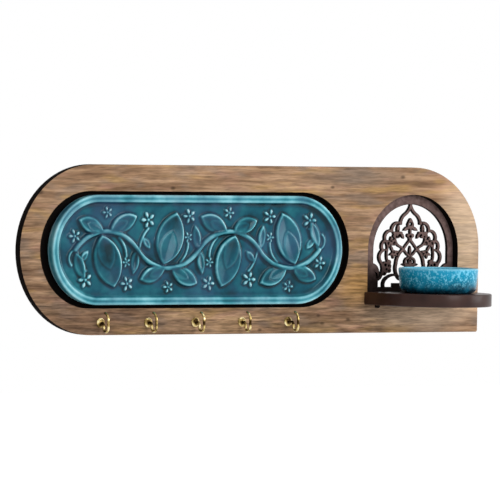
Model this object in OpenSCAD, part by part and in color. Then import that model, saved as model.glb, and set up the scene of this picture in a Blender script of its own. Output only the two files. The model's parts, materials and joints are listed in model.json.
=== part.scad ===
// Wall key holder: a long board with a round left end, a glazed relief tile in a
// stadium window, a pierced lattice behind an arched niche, a small shelf with a
// bowl on it and a row of brass cup hooks. It hangs on the wall by two keyholes.
// X runs along the board, Z is up, the wall is the plane Y = 0 and the front faces -Y.

/* [Board] */
// Length of the board
board_length = 560; // [540:1:640]
// Height of the board; its left end is a half circle of this height
board_height = 170; // [164:1:200]
// Thickness of the board
board_thickness = 9; // [8:0.5:14]
// Radius of the top right corner
corner_radius = 83; // [50:1:85]
// Radius that eases the bottom right corner
foot_radius = 2; // [1:0.5:10]

/* [Tile window] */
// Height of the stadium window that frames the tile
window_height = 117; // [105:0.5:122]
// Wood left of the window
end_margin = 23.25; // [18:0.25:32]
// Wood between the window and the niche
post_width = 23.75; // [19:0.25:34]

/* [Arched niche] */
// Radius of the arch
arch_radius = 57; // [50:0.5:62]
// Wood right of the niche
niche_margin = 26.5; // [20:0.5:36]

/* [Back panels] */
// Thickness of the two panels glued behind the board
panel_thickness = 3.5; // [2.5:0.25:6]
// How far a panel reaches past its opening, for the glue
panel_overlap = 5.5; // [3:0.25:5.5]

/* [Pierced lattice] */
// Radius of the round-headed field that holds the lattice
field_radius = 46.8; // [42:0.1:49]
// Height of the solid rail left above the shelf
rail_height = 4.6; // [3:0.1:8]
// How far the lattice sits to the right of the arch's middle
field_shift = 3; // [0:0.1:4]
// Width of the scalloped outline bars
outline_bar = 3; // [2.6:0.1:4]
// Width of the inner straps
strap_bar = 2.3; // [2:0.1:3.4]

/* [Tile] */
// Gap between the tile and the window above and below
tile_gap = 3.5; // [2:0.25:6]
// Gap between the tile and the window at each end
tile_end_gap = 11.5; // [6:0.25:14]
// Thickness of the tile at its rim
tile_thickness = 14.5; // [12:0.5:20]
// Width of the raised rim
rim_width = 7.5; // [4:0.5:9]
// How far the relief ground lies below the rim
ground_depth = 4; // [2.5:0.25:5.5]
// Rounding of the rim's edges
rim_round = 1.6; // [1:0.1:2]
// How far the tile's lower edge is trimmed back all round
back_trim = 2.5; // [1:0.25:4]
// Thickness of the vine's stems
stem_thickness = 6; // [4:0.2:7]

/* [Shelf] */
// Width of the shelf
shelf_width = 121; // [110:0.5:130]
// Depth of the shelf from the board to its round front
shelf_depth = 96.5; // [85:0.5:120]
// Thickness of the shelf
shelf_thickness = 13; // [10:0.5:16]
// Height of the shelf's top below the board's middle
shelf_drop = 43; // [40:0.5:50]
// Bevel of the shelf's edges
shelf_bevel = 0.8; // [0.4:0.1:2]

/* [Bowl] */
// Outer radius at the rim
bowl_radius = 41; // [34:0.5:46]
// Height of the bowl
bowl_height = 26; // [18:0.5:40]
// Thickness of the wall
bowl_wall = 4; // [3:0.25:5]
// How far the bowl's middle stands in front of the board
bowl_reach = 45; // [45:0.5:49]

/* [Cup hooks] */
// Number of hooks
hook_count = 5; // [3:1:6]
// How far the outer hooks stand in from the ends of the window's straight edges
row_inset = 14.75; // [8:0.25:24]
// How far the row's middle sits to the left of the window's middle
row_shift = 1; // [0:0.5:4]
// Thickness of the brass wire
wire_thickness = 2.6; // [2.2:0.1:3]
// Outer radius of the collar
collar_radius = 4.75; // [4:0.25:6]
// Height of the collar
collar_height = 2.4; // [2:0.1:3]
// Inner width of the hook's loop
loop_width = 5.9; // [5:0.1:8]

/* [Fixings] */
// Depth of the keyholes in the back of the board
keyhole_depth = 6.5; // [5:0.25:7]
// Radius of the round entry of a keyhole
keyhole_radius = 5; // [4.5:0.1:5.5]
// Distance of the keyholes from the board's ends
keyhole_inset = 90; // [86:1:140]
// Thickness of the screws that hold the shelf
screw_thickness = 3.5; // [3:0.1:4.5]
// Length of the screws that hold the shelf
screw_length = 30; // [25:1:40]
// Thickness of the two pins under the shelf
pin_thickness = 3.5; // [3:0.1:5]

/* [Hidden] */

// Depths, from the wall forwards
board_back = -panel_thickness;
board_front = board_back - board_thickness;

// Places along the board; the window takes what the margins and the niche leave
arch_x = board_length / 2 - niche_margin - arch_radius;
window_right = arch_x - arch_radius - post_width;
window_length = window_right + board_length / 2 - end_margin;
window_x = window_right - window_length / 2;
hook_pitch = (window_length - window_height - 2 * row_inset) / (hook_count - 1);
hook_row_x = window_x - row_shift;
keyhole_spread = board_length / 2 - keyhole_inset;

// Heights
shelf_bottom = -shelf_drop - shelf_thickness;
field_bottom = rail_height - shelf_drop;
rail_middle = (window_height / 2 + board_height / 2) / 2;
hook_drop = 1;
hook_z = -rail_middle - hook_drop;
keyhole_drop = 1.4;
keyhole_z = rail_middle - keyhole_drop;

// Clearances of what is put in by hand
screw_clearance = 0.1;
pin_clearance = 0.05;
wire_clearance = 0.05;

// Seats in the wood
pin_depth = board_thickness - 2;
pin_reach = 5;
pilot_depth = board_thickness - 1;
pin_inset = 15;
pin_x = shelf_width / 2 - pin_inset;
screw_inset = 25.5;
screw_x = shelf_width / 2 - screw_inset;
screw_z = -shelf_drop - shelf_thickness / 2;
screw_head_radius = screw_thickness;
screw_head_height = screw_thickness * 0.6;
screw_sink_slope = (screw_head_radius - screw_thickness / 2) / screw_head_height;
screw_bite = screw_length - board_thickness - panel_thickness;
pin_z = shelf_bottom - pin_thickness / 2;

// How far each hook is left unscrewed; they stand a little unevenly, as fitted by hand
hook_out = [0, 1, 1.8, 1, 4];

$fn = 64;

// A flat outline drawn in X and Z, given a thickness forwards from the plane Y = back
module upright(back, thickness) {
    translate([0, back, 0]) rotate([90, 0, 0]) linear_extrude(thickness) children();
}

module stadium(length, height) {
    square([length - height, height], center = true);
    for (side = [-1, 1]) translate([side * (length - height) / 2, 0]) circle(height / 2);
}

module arch_outline(radius, bottom) {
    intersection() {
        circle(radius);
        translate([-radius, bottom]) square([2 * radius, radius - bottom]);
    }
    translate([-radius, bottom]) square([2 * radius, -bottom]);
}

// A section swept once around a stadium; the section's x is measured from the stadium's spine
module swept_stadium(spine, section) {
    for (side = [0, 1]) mirror([side, 0, 0]) translate([spine / 2, 0, 0])
        rotate([0, 0, -90]) rotate_extrude(angle = 180) polygon(section);
    both = concat(section, [for (i = [len(section) - 1:-1:0]) [-section[i][0], section[i][1]]]);
    translate([-spine / 2, 0, 0]) rotate([90, 0, 90]) linear_extrude(spine) polygon(both);
}

function arc_points(centre, radius, from, to, steps = 6) =
    [for (i = [0:steps]) let (a = from + (to - from) * i / steps)
        [centre[0] + radius * cos(a), centre[1] + radius * sin(a)]];

// Front board: veneered board with the stadium window and the arched niche cut through
module board_outline() {
    half = board_height / 2;
    left = -board_length / 2 + half;
    right = board_length / 2;
    translate([left, 0]) circle(half);
    translate([left, -half]) square([right - foot_radius - left, board_height - corner_radius]);
    translate([left, -half]) square([right - corner_radius - left, board_height]);
    translate([left, foot_radius - half])
        square([right - left, board_height - corner_radius - foot_radius]);
    translate([right - corner_radius, half - corner_radius]) circle(corner_radius);
    translate([right - foot_radius, foot_radius - half]) circle(foot_radius);
}

keyhole_neck = 2;
keyhole_rise = 6;
keyhole_lip = 2;
keyhole_channel = 3.2;

// Round entry, narrow neck through the lip and a wider channel behind it for the screw's head
module keyhole() {
    upright(board_back + 1, keyhole_depth + 1) circle(keyhole_radius);
    for (cut = [[keyhole_neck, board_back + 1, keyhole_lip + 2],
                [keyhole_channel, board_back - keyhole_lip, keyhole_depth - keyhole_lip]])
        upright(cut[1], cut[2]) {
            translate([-cut[0], 0]) square([2 * cut[0], keyhole_rise]);
            translate([0, keyhole_rise]) circle(cut[0]);
        }
}

module front_board() {
    color("#B18C63") difference() {
        upright(board_back, board_thickness) difference() {
            board_outline();
            translate([window_x, 0]) stadium(window_length, window_height);
            translate([arch_x, 0]) arch_outline(arch_radius, -shelf_drop);
        }
        for (side = [-1, 1]) translate([side * keyhole_spread, 0, keyhole_z]) keyhole();
        for (i = [1:hook_count]) translate([hook_x(i), board_front - 1, hook_z])
            rotate([-90, 0, 0]) cylinder(h = pilot_depth + 1, r = wire_thickness / 2 + wire_clearance);
        for (side = [-1, 1]) translate([arch_x, 0, 0]) {
            translate([side * screw_x, 1, screw_z]) rotate([90, 0, 0])
                cylinder(h = board_thickness + panel_thickness + 2,
                    r = screw_thickness / 2 + screw_clearance);
            translate([side * pin_x, board_front - 1, pin_z]) rotate([-90, 0, 0])
                cylinder(h = pin_depth + 1, r = pin_thickness / 2 + pin_clearance);
        }
    }
}

function hook_x(i) = hook_row_x + (i - (hook_count + 1) / 2) * hook_pitch;

// Tile backing: thin stadium panel glued behind the window, which carries the tile
module tile_backing() {
    color("#191716") upright(0, panel_thickness)
        translate([window_x, 0])
            stadium(window_length + 2 * panel_overlap, window_height + 2 * panel_overlap);
}

// Lattice panel: thin board cut through as a tree of arabesques under a scalloped arch.
// Places in the lattice are in the field's own units, at a field radius of 47.5.
drawn_radius = 47.5;

function circumcentre(a, b, c) =
    let (d = 2 * (a[0] * (b[1] - c[1]) + b[0] * (c[1] - a[1]) + c[0] * (a[1] - b[1])),
         aa = a * a, bb = b * b, cc = c * c)
    [(aa * (b[1] - c[1]) + bb * (c[1] - a[1]) + cc * (a[1] - b[1])) / d,
     (aa * (c[0] - b[0]) + bb * (a[0] - c[0]) + cc * (b[0] - a[0])) / d];

// Bar of even width along the arc that runs from a through b to c, with round ends
module bend(a, b, c, width) {
    m = circumcentre(a, b, c);
    r = norm(a - m);
    intersection() {
        difference() {
            translate(m) circle(r + width / 2, $fn = 96);
            translate(m) circle(r - width / 2, $fn = 96);
        }
        polygon(fan(m, a, b, c, r + 2 * width));
    }
    for (p = [a, c]) translate(p) circle(width * 0.53, $fn = 24);
}

// Fan from m that takes in the arc from a through b to c
function fan(m, a, b, c, far) =
    [m, m + far * unit(a - m), m + 1.5 * far * unit(unit(a - m) + unit(b - m)),
     m + 1.5 * far * unit(b - m), m + 1.5 * far * unit(unit(b - m) + unit(c - m)),
     m + far * unit(c - m)];
function unit(v) = v / norm(v);

// Pointed leaf from one tip to the other
module leaf(a, b, width) {
    half = norm(b - a) / 2;
    r = (half * half + width * width / 4) / width;
    translate((a + b) / 2) rotate(atan2(b[1] - a[1], b[0] - a[0])) intersection() {
        translate([0, r - width / 2]) circle(r, $fn = 96);
        translate([0, width / 2 - r]) circle(r, $fn = 96);
    }
}

module knob(x, y, r) {
    translate([x, y]) circle(r, $fn = 32);
}

// Right half of the scalloped outline, from the point down to the foot
module outline_half() {
    w = outline_bar;
    bend([0, 46.5], [2.6, 41.2], [6.8, 37.2], w);
    bend([6.8, 37.2], [10.8, 33.4], [12.6, 28.6], w);
    bend([12.6, 27.4], [19, 27.6], [23.8, 20.6], w);
    bend([23.8, 19.6], [30, 18.2], [32.4, 10.6], w);
    bend([32.4, 9.6], [36.4, 4.6], [35, -0.8], w);
    bend([35, -0.8], [39.2, -6.4], [37.6, -12.6], w);
    bend([37.6, -12.6], [34.8, -19.4], [36.6, -26], w);
    bend([36.6, -26], [37.6, -28.6], [41, -31], w);
    knob(49.6, -24, 10.2);
    translate([41, field_floor()]) square([8, 13]);
}

function field_floor() = (field_bottom - 1) * drawn_radius / field_radius;

// Right half of the straps that cross at the middle and fall to the foot
module strap_half() {
    w = strap_bar;
    bend([0, 10.5], [4.7, 5.4], [9.1, 0], w);
    bend([9.1, 0], [15, -6], [17.6, -14.5], w * 1.3);
    bend([17.6, -14.5], [18, -23], [13, -30.5], w * 1.3);
    bend([19.4, 11.5], [17.6, 6.6], [12.5, 3.2], w);
    bend([12.5, 3.2], [8.3, 0], [4.3, -4.2], w);
    bend([4.3, -4.2], [0.2, -7.1], [-4.6, -9.6], w);
    bend([-4.6, -9.6], [-6.3, -12.4], [-5.4, -15.5], w * 0.9);
    bend([13, -30.5], [6, -33.6], [0, -34.4], w);
}

// Right half of the foot: a turned-over bar, its plinth and the foliage above it
module foot_half() {
    w = outline_bar;
    bend([33.2, field_floor()], [33.4, -34], [30, -29.8], w);
    bend([30, -29.8], [24.4, -27], [17, -26.6], w * 0.85);
    translate([-1, field_floor()]) square([23, 5]);
    knob(31.6, -15.8, 3.6);
    knob(27.2, -13.2, 2.8);
    knob(27.4, -17.4, 3.4);
    knob(30.8, -20.4, 4.2);
    knob(27.2, -21.4, 3);
    knob(33, -24.2, 3);
    bend([29.4, -0.5], [30, -6], [29, -11.4], strap_bar * 0.95);
}

// Right half of the flowers and leaves inside the outline
module foliage_half() {
    leaf([16.4, 16], [15.4, 27], 4);
    knob(16.4, 15.6, 3.8);
    knob(19.8, 14.6, 2.5);
    leaf([16.8, 16], [10.2, 18.4], 3.4);
    leaf([12, 18], [8.4, 11.4], 3.2);
    leaf([15.6, 15.6], [22.8, 18.2], 4);
    leaf([16.4, 13], [22, 13.8], 3);
    bend([17.6, 14], [18.8, 12.9], [19.4, 11.5], strap_bar);
    knob(24.8, 6.8, 2.7);
    leaf([24.4, 5], [24.6, 14], 3.4);
    leaf([24, 7], [31.8, 9.6], 3.4);
    leaf([26, 6], [17, 5.6], 3.2);
    leaf([24, 7.6], [19.2, 10.8], 2.8);
    leaf([24.6, 7], [29.6, 2.2], 3);
    bend([32.4, 9.4], [29.6, 4.8], [29.4, -0.5], strap_bar * 0.9);
    bend([29.4, -0.5], [32, -0.2], [35, -1], strap_bar * 0.9);
    leaf([25.6, 5], [21.6, -2.6], 2.8);
    knob(20.8, -2.8, 2.5);
    leaf([22, -2.6], [14.4, -2], 3);
    leaf([21, -1], [21.6, -9.6], 3.2);
    leaf([20.6, -3.2], [26.4, -6], 3);
    leaf([21, -3], [16.8, -6.8], 2.6);
    leaf([0.5, 24.6], [9.2, 19.8], 3.6);
    knob(2.4, 14.8, 2.2);
    leaf([0, -16], [10.4, -15.4], 3.6);
    leaf([0, -16.6], [8.1, -20.6], 3.2);
    leaf([0, -23.4], [7.5, -28.2], 3.4);
}

// Leaves and stem on the middle line
module middle_stem() {
    difference() {
        union() {
            leaf([0, 20], [0, 33.2], 6.6);
            knob(0, 26, 4.2);
        }
        knob(0, 27, 1.7);
    }
    translate([-1.2, 12]) square([2.4, 12]);
    knob(0, 14, 2.9);
    leaf([0, 15], [0, 8.6], 4.2);
    leaf([0, 4.2], [0, -7], 3);
    leaf([0, -8.2], [0, -17.6], 4.8);
    translate([-1.2, field_floor()]) square([2.4, -16 - field_floor()]);
    leaf([0, -19], [0, -30], 5.4);
}

module lattice() {
    scale(field_radius / drawn_radius) {
        for (side = [0, 1]) mirror([side, 0]) {
            outline_half();
            strap_half();
            foot_half();
            foliage_half();
        }
        middle_stem();
    }
}

module lattice_panel() {
    panel_bottom = shelf_bottom;
    color("#5A463F") difference() {
        upright(0, panel_thickness) translate([arch_x, 0]) {
            difference() {
                arch_outline(arch_radius + panel_overlap, panel_bottom);
                translate([field_shift, 0]) arch_outline(field_radius, field_bottom);
            }
            translate([field_shift, 0]) intersection() {
                arch_outline(field_radius + 1, field_bottom - 1);
                lattice();
            }
        }
        for (side = [-1, 1]) translate([arch_x + side * screw_x, 1, screw_z]) rotate([90, 0, 0]) {
            cylinder(h = panel_thickness + 2, r = screw_thickness / 2 + screw_clearance);
            cylinder(h = 1 + screw_head_height, r1 = screw_head_radius + screw_clearance + screw_sink_slope,
                r2 = screw_thickness / 2 + screw_clearance);
        }
    }
}

// Relief tile: pressed clay under a glaze, a raised rim round a vine with flowers and leaves
tile_length = window_length - 2 * tile_end_gap;
tile_height = window_height - 2 * tile_gap;
ground_half = tile_height / 2 - rim_width - ground_depth;

// The relief is drawn on a ground 90 high, round a stem of four half waves 76 long
drawn_half = 45;
drawn_spine = 239.5;
wave = 76;
wave_rise = 19;
wave_radius = (wave * wave / 4 + wave_rise * wave_rise) / (2 * wave_rise);
wave_angle = asin(wave / 2 / wave_radius);
tendril_width = stem_thickness * 0.55;
small_height = 3;

function tile_section() = let (r = tile_height / 2, w = rim_width, q = rim_round, t = tile_thickness)
    concat([[0, 0], [r - back_trim, 0], [r, back_trim * 1.6]],
        arc_points([r - q, t - q], q, 0, 90),
        arc_points([r - w + q, t - q], q, 90, 150),
        [[ground_half, t - ground_depth], [0, t - ground_depth]]);

// Body with an upright edge and a domed face, cut from a large ball
module dome(height, span) {
    ball = (span * span / 4 + height * height) / (2 * height);
    intersection() {
        translate([0, 0, -1]) linear_extrude(height + 2) children();
        translate([0, 0, height - ball]) sphere(ball, $fn = 96);
    }
}

// Domed leaf from its stalk to its tip
module raised_leaf(from, to, width, height = 4.4) {
    length = norm(to - from);
    translate((from + to) / 2) rotate(atan2(to[1] - from[1], to[0] - from[0]))
        dome(height, length * 1.12) leaf([-length / 2, 0], [length / 2, 0], width);
}

// Small flower of five petals, drawn flat
module small_flower(x, y, radius) {
    translate([x, y]) {
        for (i = [1:5]) rotate((i + 0.25) * 72) translate([radius * 0.62, 0]) circle(radius * 0.38);
        circle(radius * 0.6);
    }
}

// Half wave of the stem, half sunk in the ground
module wave_stem() {
    translate([0, wave_rise - wave_radius, stem_thickness * 0.1]) rotate(90 - wave_angle)
        rotate_extrude(angle = 2 * wave_angle)
            translate([wave_radius, 0]) circle(stem_thickness / 2, $fn = 24);
}

// Small leaves, flowers and tendrils of one half wave, drawn flat
module small_growth() {
    bend([-36, 4], [-33, -10], [-25, -22], tendril_width);
    bend([15, 13], [23, 2], [24.5, -7], tendril_width);
    leaf([37, 1], [33, -26], 11);
    leaf([-32, -13], [-22, -1], 8);
    small_flower(-25.5, -31, 8);
    small_flower(24.5, -13, 5.2);
    small_flower(25.5, -35, 7.4);
    small_flower(0.6, 38.5, 6);
}

// Puts what is drawn for one half wave about x = middle, with its crest towards side
module bay(middle, side) {
    translate([middle, 0, 0]) mirror([0, side > 0 ? 0 : 1, 0]) children();
}

// Left half of the relief; the other half is the same, turned half round
module relief_half() {
    outer = -1.5 * wave;
    inner = -0.5 * wave;
    for (at = [[outer, 1], [inner, -1]]) bay(at[0], at[1]) {
        wave_stem();
        raised_leaf([-7, 16], [10, -39], 33, 5);
        raised_leaf([3, 20], [37, 35], 19);
        raised_leaf([-4, 20], [-35, 31], 17);
    }
    linear_extrude(small_height) {
        for (at = [[outer, 1], [inner, -1]]) bay(at[0], at[1]) small_growth();
        bend([-2 * wave, 0], [-2 * wave - 7, -7], [-2 * wave - 4, -16], tendril_width);
        leaf([-2 * wave, -2], [-2 * wave + 11, -31], 13);
        small_flower(-2 * wave - 1, 14, 7);
    }
}

module relief_tile() {
    spine = tile_length - tile_height;
    color("#2F8E9C") translate([window_x, board_back, 0]) rotate([90, 0, 0]) {
        swept_stadium(spine, tile_section());
        translate([0, 0, tile_thickness - ground_depth])
            scale(min(ground_half / drawn_half, spine / drawn_spine))
                for (turn = [0, 180]) rotate(turn) relief_half();
    }
}

// Shelf: thick board with a round front, its edges bevelled, butted against the front board
module shelf() {
    r = shelf_width / 2;
    t = shelf_thickness;
    c = shelf_bevel;
    straight = shelf_depth - r;
    section = [[0, 0], [r - c, 0], [r, c], [r, t - c], [r - c, t], [0, t]];
    both = concat(section, [for (i = [len(section) - 1:-1:0]) [-section[i][0], section[i][1]]]);
    color("#3E2B26") difference() {
        translate([arch_x, board_front, shelf_bottom]) {
            translate([0, -straight, 0]) rotate([0, 0, 180]) rotate_extrude(angle = 180)
                polygon(section);
            rotate([90, 0, 0]) linear_extrude(straight) polygon(both);
        }
        for (side = [-1, 1]) translate([arch_x + side * screw_x, board_front + 1, screw_z])
            rotate([90, 0, 0]) cylinder(h = screw_bite + 1.5, r = screw_thickness / 2 + screw_clearance);
    }
}

// Bowl: thrown and glazed, on a flat foot with a shallow hollow under it
module bowl() {
    r = bowl_radius;
    h = bowl_height;
    w = bowl_wall;
    foot = r * 0.88;
    corner = h * 0.28;
    heel = r * 0.965;
    ring = 3.5;
    hollow = 1.2;
    outer = concat([[foot - ring, 0]], arc_points([heel - corner, corner], corner, -78, -8),
        arc_points([r - w / 2, h - w / 2], w / 2, 0, 180, 8));
    inner = concat(arc_points([heel - corner - w * 0.4, corner + w * 0.6], corner, -8, -90),
        [[0, w * 0.6]]);
    color("#2E9FBF") translate([arch_x, board_front - bowl_reach, -shelf_drop])
        rotate_extrude($fn = 128)
            polygon(concat([[0, hollow], [foot - ring - hollow, hollow]], outer, inner));
}

// Pin under the shelf, driven into the board, with a rounded end
module shelf_pin(side) {
    r = pin_thickness / 2;
    whole = pin_depth + pin_reach;
    color("#1C1614") translate([arch_x + side * pin_x, board_front + pin_depth, pin_z])
        rotate([90, 0, 0]) rotate_extrude($fn = 48)
            polygon(concat([[0, 0], [r, 0]], arc_points([r - 1, whole - 1], 1, 0, 90), [[0, whole]]));
}

// Countersunk screw through the lattice panel and the board into the shelf
module shelf_screw(side) {
    r = screw_thickness / 2;
    color("#8C8578") translate([arch_x + side * screw_x, 0, screw_z]) rotate([90, 0, 0])
        rotate_extrude($fn = 48) polygon([[0, 0], [screw_head_radius, 0],
            [r, screw_head_height], [r, screw_length - 2 * r], [0, screw_length]]);
}

// Part of a ring of wire
module wire_bend(centre, radius, from, turn, wire) {
    translate([centre[0], centre[1], 0]) rotate(from) rotate_extrude(angle = turn)
        translate([radius, 0]) circle(wire / 2, $fn = 32);
}

// Cup hook: one bent brass wire. Its path starts in the wood and is drawn with x forwards and y up.
module cup_hook(i) {
    wire = wire_thickness;
    out = hook_out[(i - 1) % len(hook_out)];
    elbow = 3;
    straight = 1.4;
    low = (loop_width + wire) / 2;
    shank = 3 + out;
    limb = shank + elbow;
    high = 7;
    rise = 3;
    lean = 84;
    color("#C9A227") translate([hook_x(i), board_front, hook_z]) rotate([0, 0, -90])
        rotate([90, 0, 0]) {
            translate([out - pilot_depth, 0, 0]) rotate([0, 90, 0]) {
                translate([0, 0, 2]) cylinder(h = pilot_depth - 2 + shank - out, r = wire / 2, $fn = 32);
                cylinder(h = 2, r1 = 0.2, r2 = wire / 2, $fn = 32);
            }
            wire_bend([shank, -elbow], elbow, 0, 90, wire);
            translate([limb, -elbow - straight, 0]) rotate([-90, 0, 0])
                cylinder(h = straight, r = wire / 2, $fn = 32);
            wire_bend([limb + low, -elbow - straight], low, 180, 180, wire);
            translate([limb + 2 * low, -elbow - straight, 0]) rotate([-90, 0, 0])
                cylinder(h = elbow + straight + rise, r = wire / 2, $fn = 32);
            wire_bend([limb + 2 * low - high, rise], high, 0, lean, wire);
            translate([limb + 2 * low - high + high * cos(lean), rise + high * sin(lean), 0])
                rotate([0, 0, lean]) rotate([-90, 0, 0])
                    cylinder(h = wire * 0.3, r1 = wire / 2, r2 = wire * 0.28, $fn = 32);
        }
}

// Pressed brass collar round the hook's shank, flat against the board
module hook_collar(i) {
    r = collar_radius;
    h = collar_height;
    hole = wire_thickness / 2 + wire_clearance;
    dome = (r * r + h * h) / (2 * h);
    color("#D4AF37") translate([hook_x(i), board_front, hook_z]) rotate([90, 0, 0])
        rotate_extrude($fn = 64) polygon(concat([[hole, 0], [r, 0], [r, 0.5]],
            [for (k = [1:8]) let (x = r - (r - hole) * k / 8)
                [x, max(0.5, sqrt(dome * dome - x * x) - dome + h)]]));
}

front_board();
tile_backing();
relief_tile();
lattice_panel();
shelf();
bowl();
shelf_pin(-1);  // shelf_pin_left
shelf_pin(1);  // shelf_pin_right
shelf_screw(-1);  // shelf_screw_left
shelf_screw(1);  // shelf_screw_right
cup_hook(1);  // cup_hook_1
cup_hook(2);  // cup_hook_2
cup_hook(3);  // cup_hook_3
cup_hook(4);  // cup_hook_4
cup_hook(5);  // cup_hook_5
hook_collar(1);  // hook_collar_1
hook_collar(2);  // hook_collar_2
hook_collar(3);  // hook_collar_3
hook_collar(4);  // hook_collar_4
hook_collar(5);  // hook_collar_5
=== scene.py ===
import json
import math

import bpy
import numpy as np
from mathutils import Matrix, Vector

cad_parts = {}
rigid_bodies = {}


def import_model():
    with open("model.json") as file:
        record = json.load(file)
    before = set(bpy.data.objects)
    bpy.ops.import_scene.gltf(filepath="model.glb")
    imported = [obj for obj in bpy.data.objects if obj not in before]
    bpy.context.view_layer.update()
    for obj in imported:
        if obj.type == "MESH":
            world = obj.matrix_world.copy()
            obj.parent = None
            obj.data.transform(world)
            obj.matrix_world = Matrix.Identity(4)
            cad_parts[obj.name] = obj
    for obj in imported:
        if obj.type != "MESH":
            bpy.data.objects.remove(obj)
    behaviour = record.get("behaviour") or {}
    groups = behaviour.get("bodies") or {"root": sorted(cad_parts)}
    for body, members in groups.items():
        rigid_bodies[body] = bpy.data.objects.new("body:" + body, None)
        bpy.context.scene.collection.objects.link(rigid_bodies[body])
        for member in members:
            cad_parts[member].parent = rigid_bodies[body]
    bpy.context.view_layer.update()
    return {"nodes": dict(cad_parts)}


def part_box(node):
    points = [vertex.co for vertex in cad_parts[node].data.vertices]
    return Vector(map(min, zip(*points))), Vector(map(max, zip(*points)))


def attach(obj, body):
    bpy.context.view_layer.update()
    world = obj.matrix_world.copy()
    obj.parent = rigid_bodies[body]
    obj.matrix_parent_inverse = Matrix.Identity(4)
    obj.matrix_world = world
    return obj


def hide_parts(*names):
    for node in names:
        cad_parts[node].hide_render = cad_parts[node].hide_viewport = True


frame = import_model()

bpy.ops.object.select_all(action="DESELECT")

# Front board. Fibreboard faced with a light brown oak veneer, brushed and lacquered to a satin,
# its outer edges and the walls of both cut-outs painted black and its back left bare. The
# arrises are eased by hand, so they show a thin brown line.
mm = 0.001
BOARD_ARRIS = 0.5 * mm


def copy_node(node, name):
    """A merged copy of a CAD node's mesh as a new object, active and in edit mode"""
    piece = bpy.data.objects.new(name, frame["nodes"][node].data.copy())
    bpy.context.collection.objects.link(piece)
    bpy.ops.object.select_all(action="DESELECT")
    piece.select_set(True)
    bpy.context.view_layer.objects.active = piece
    bpy.ops.object.mode_set(mode="EDIT")
    bpy.ops.mesh.select_all(action="SELECT")
    bpy.ops.mesh.remove_doubles(threshold=0.002 * mm)
    return piece


def apply_modifier(piece, kind, **settings):
    """Adds a modifier with its settings and applies it at once"""
    modifier = piece.modifiers.new(kind.title(), kind)
    for name, value in settings.items():
        setattr(modifier, name, value)
    bpy.ops.object.modifier_apply(modifier=modifier.name)


def eased_copy(node, name, arris, sharp):
    """A copy of a CAD node with its faces whole and its edges over sharp degrees eased"""
    piece = copy_node(node, name)
    bpy.ops.mesh.dissolve_limited(angle_limit=math.radians(1))
    bpy.ops.object.mode_set(mode="OBJECT")
    apply_modifier(piece, "BEVEL", width=arris, segments=2, limit_method="ANGLE",
                   angle_limit=math.radians(sharp))
    return piece


def linear(hex_colour):
    """An sRGB hex colour such as B18C63 as the linear colour that a socket takes"""
    parts = [int(hex_colour[i:i + 2], 16) / 255 for i in (0, 2, 4)]
    return (*(p / 12.92 if p <= 0.04045 else ((p + 0.055) / 1.055) ** 2.4 for p in parts), 1.0)


def add_node(tree, kind, sockets=None, steps=(), **settings):
    """Adds a node with its settings. Its sockets are set to a value or linked to an output, and
    a ramp gets steps, which are (place, hex colour) pairs"""
    made = tree.nodes.new(kind)
    for name, value in settings.items():
        setattr(made, name, value)
    for key, value in (sockets or {}).items():
        if isinstance(value, bpy.types.NodeSocket):
            tree.links.new(value, made.inputs[key])
        else:
            made.inputs[key].default_value = value
    if steps:
        elements = made.color_ramp.elements
        while len(elements) < len(steps):
            elements.new(0.5)
        for element, (spot, colour) in zip(elements, steps):
            element.position = spot
            element.color = linear(colour)
    return made


def new_material(name):
    """An empty node material, its tree, and the Object coordinates that its patterns read"""
    material = bpy.data.materials.new(name)
    material.use_nodes = True
    material.node_tree.nodes.clear()
    coordinates = add_node(material.node_tree, "ShaderNodeTexCoord")
    return material, material.node_tree, coordinates.outputs["Object"]


def dress(piece, material, angle=35):
    """Gives a piece its one material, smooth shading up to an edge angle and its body.
    A CAD node already rides on its body"""
    piece.data.materials.clear()
    piece.data.materials.append(material)
    bpy.ops.object.select_all(action="DESELECT")
    piece.select_set(True)
    bpy.context.view_layer.objects.active = piece
    bpy.ops.object.shade_smooth_by_angle(angle=math.radians(angle))
    if piece.parent is None:
        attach(piece, "root")


board = eased_copy("front_board", "veneered_board", BOARD_ARRIS, 40)
board_low, board_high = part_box("front_board")

# Oak veneer: long level grain in browns that wander between grey, pink and ochre, with pores and
# a few pin knots. Satin lacquer gives a soft, broad sheen. A noise's Scale is its cells in a
# metre, so the slow drift of the grain has one each 110 mm.
oak, tree, place = new_material("oak_veneer_satin_lacquer")
drift = add_node(tree, "ShaderNodeTexNoise", {"Vector": place, "Scale": 9.0, "Detail": 2.0})
bent = add_node(tree, "ShaderNodeVectorMath", {0: drift.outputs["Color"], 1: (0.0, 0.0, 5 * mm)},
                operation="MULTIPLY")
grain_place = add_node(tree, "ShaderNodeVectorMath", {0: place, 1: bent.outputs[0]},
                       operation="ADD").outputs[0]
grain_axes = add_node(tree, "ShaderNodeSeparateXYZ", {0: grain_place})


def streaks(stretch, detail, roughness=0.55, offset=0.0):
    """Noise drawn out along the board: stretch is its cells in a metre, along X and Z"""
    mapping = add_node(tree, "ShaderNodeMapping", {
        "Vector": grain_place, "Scale": (stretch[0], 6.0, stretch[1]),
        "Location": (offset, 0.0, 0.0)})
    return add_node(tree, "ShaderNodeTexNoise", {
        "Vector": mapping.outputs[0], "Scale": 1.0, "Detail": detail,
        "Roughness": roughness}).outputs["Fac"]


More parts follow.
